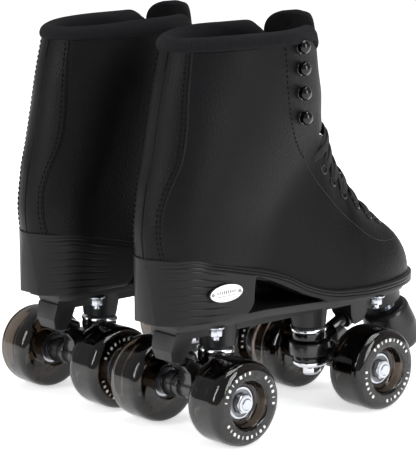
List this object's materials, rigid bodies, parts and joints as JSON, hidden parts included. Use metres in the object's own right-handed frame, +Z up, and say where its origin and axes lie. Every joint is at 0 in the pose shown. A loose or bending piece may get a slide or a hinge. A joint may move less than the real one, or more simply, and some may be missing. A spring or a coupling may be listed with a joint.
{
  "type": "quad roller skates",
  "caption": "Pair of black high-top quad roller skates: heeled lace-up boots on nylon plates with sprung steering trucks, free-spinning wheels and adjustable toe stops.",
  "frame": {"origin": "on the floor, under the middle of the pair's bounding box", "axes": "+Z up, +Y towards the toes, +X towards the right skate"},
  "size_m": [0.237, 0.2614, 0.2864],
  "materials": {
    "leather": "fine-grain synthetic leather, satin",
    "knit": "padded ribbed knit",
    "lace": "flat woven lace",
    "sole": "moulded, satin",
    "board": "brushed lining cloth",
    "plate": "glass-filled nylon, matte",
    "badge": "polished",
    "rubber": "matte",
    "black_metal": "black gloss coat on alloy",
    "steel": "zinc plated",
    "chrome": "bright plated",
    "cushion": "glossy urethane",
    "urethane": "smoky translucent urethane"
  },
  "bodies": {
    "right_skate": {"right_upper": "leather", "right_collar_lining": "knit", "right_tongue": "knit", "right_laces": "lace", "right_outsole": "sole", "right_insole": "board", "right_plate": "plate", "right_badge": "badge", "right_front_kingpin": "chrome", "right_front_upper_cushion": "cushion", "right_front_lower_cushion": "cushion", "right_front_pivot_cup": "rubber", "right_rear_kingpin": "chrome", "right_rear_upper_cushion": "cushion", "right_rear_lower_cushion": "cushion", "right_rear_pivot_cup": "rubber"},
    "right_toe_stop_body": {"right_toe_stop": "rubber", "right_toe_stop_stem": "steel"},
    "right_front_truck_body": {"right_front_truck": "black_metal", "right_front_axle": "steel"},
    "right_front_outer_wheel_body": {"right_front_outer_wheel": "urethane", "right_front_outer_bearings": "steel"},
    "right_front_inner_wheel_body": {"right_front_inner_wheel": "urethane", "right_front_inner_bearings": "steel"},
    "right_rear_truck_body": {"right_rear_truck": "black_metal", "right_rear_axle": "steel"},
    "right_rear_outer_wheel_body": {"right_rear_outer_wheel": "urethane", "right_rear_outer_bearings": "steel"},
    "right_rear_inner_wheel_body": {"right_rear_inner_wheel": "urethane", "right_rear_inner_bearings": "steel"},
    "left_skate": {"left_upper": "leather", "left_collar_lining": "knit", "left_tongue": "knit", "left_laces": "lace", "left_outsole": "sole", "left_insole": "board", "left_plate": "plate", "left_badge": "badge", "left_front_kingpin": "chrome", "left_front_upper_cushion": "cushion", "left_front_lower_cushion": "cushion", "left_front_pivot_cup": "rubber", "left_rear_kingpin": "chrome", "left_rear_upper_cushion": "cushion", "left_rear_lower_cushion": "cushion", "left_rear_pivot_cup": "rubber"},
    "left_toe_stop_body": {"left_toe_stop": "rubber", "left_toe_stop_stem": "steel"},
    "left_front_truck_body": {"left_front_truck": "black_metal", "left_front_axle": "steel"},
    "left_front_outer_wheel_body": {"left_front_outer_wheel": "urethane", "left_front_outer_bearings": "steel"},
    "left_front_inner_wheel_body": {"left_front_inner_wheel": "urethane", "left_front_inner_bearings": "steel"},
    "left_rear_truck_body": {"left_rear_truck": "black_metal", "left_rear_axle": "steel"},
    "left_rear_outer_wheel_body": {"left_rear_outer_wheel": "urethane", "left_rear_outer_bearings": "steel"},
    "left_rear_inner_wheel_body": {"left_rear_inner_wheel": "urethane", "left_rear_inner_bearings": "steel"}
  },
  "joints": [
    {"name": "right_front_steering", "type": "hinge", "parent": "right_skate", "child": "right_front_truck_body", "pos_m": [0.0625, 0.02427, 0.04], "axis": [0, 0.9148, 0.4039], "range_deg": [-8, 8], "stiffness_Nm_per_rad": 60, "deforming": ["right_front_upper_cushion", "right_front_lower_cushion"]},
    {"name": "right_front_outer_wheel_spin", "type": "hinge", "parent": "right_front_truck_body", "child": "right_front_outer_wheel_body", "pos_m": [0.1025, 0.04477, 0.029], "axis": [1, 0, 0], "continuous": true},
    {"name": "right_front_inner_wheel_spin", "type": "hinge", "parent": "right_front_truck_body", "child": "right_front_inner_wheel_body", "pos_m": [0.0225, 0.04477, 0.029], "axis": [1, 0, 0], "continuous": true},
    {"name": "right_rear_steering", "type": "hinge", "parent": "right_skate", "child": "right_rear_truck_body", "pos_m": [0.0625, -0.06673, 0.04], "axis": [0, -0.9148, 0.4039], "range_deg": [-8, 8], "stiffness_Nm_per_rad": 60, "deforming": ["right_rear_upper_cushion", "right_rear_lower_cushion"]},
    {"name": "right_rear_outer_wheel_spin", "type": "hinge", "parent": "right_rear_truck_body", "child": "right_rear_outer_wheel_body", "pos_m": [0.1025, -0.08723, 0.029], "axis": [1, 0, 0], "continuous": true},
    {"name": "right_rear_inner_wheel_spin", "type": "hinge", "parent": "right_rear_truck_body", "child": "right_rear_inner_wheel_body", "pos_m": [0.0225, -0.08723, 0.029], "axis": [1, 0, 0], "continuous": true},
    {"name": "right_toe_stop_height", "type": "slide", "parent": "right_skate", "child": "right_toe_stop_body", "axis": [0, -0.4147, 0.91], "range_m": [-0.006, 0.002]},
    {"name": "left_front_steering", "type": "hinge", "parent": "left_skate", "child": "left_front_truck_body", "pos_m": [-0.0625, 0.02427, 0.04], "axis": [0, 0.9148, 0.4039], "range_deg": [-8, 8], "stiffness_Nm_per_rad": 60, "deforming": ["left_front_upper_cushion", "left_front_lower_cushion"]},
    {"name": "left_front_outer_wheel_spin", "type": "hinge", "parent": "left_front_truck_body", "child": "left_front_outer_wheel_body", "pos_m": [-0.1025, 0.04477, 0.029], "axis": [1, 0, 0], "continuous": true},
    {"name": "left_front_inner_wheel_spin", "type": "hinge", "parent": "left_front_truck_body", "child": "left_front_inner_wheel_body", "pos_m": [-0.0225, 0.04477, 0.029], "axis": [1, 0, 0], "continuous": true},
    {"name": "left_rear_steering", "type": "hinge", "parent": "left_skate", "child": "left_rear_truck_body", "pos_m": [-0.0625, -0.06673, 0.04], "axis": [0, -0.9148, 0.4039], "range_deg": [-8, 8], "stiffness_Nm_per_rad": 60, "deforming": ["left_rear_upper_cushion", "left_rear_lower_cushion"]},
    {"name": "left_rear_outer_wheel_spin", "type": "hinge", "parent": "left_rear_truck_body", "child": "left_rear_outer_wheel_body", "pos_m": [-0.1025, -0.08723, 0.029], "axis": [1, 0, 0], "continuous": true},
    {"name": "left_rear_inner_wheel_spin", "type": "hinge", "parent": "left_rear_truck_body", "child": "left_rear_inner_wheel_body", "pos_m": [-0.0225, -0.08723, 0.029], "axis": [1, 0, 0], "continuous": true},
    {"name": "left_toe_stop_height", "type": "slide", "parent": "left_skate", "child": "left_toe_stop_body", "axis": [0, -0.4147, 0.91], "range_m": [-0.006, 0.002]},
    {"name": "left_skate_roll_apart", "type": "slide", "parent": "right_skate", "child": "left_skate", "axis": [0, 1, 0], "range_m": [-0.12, 0.12]}
  ]
}
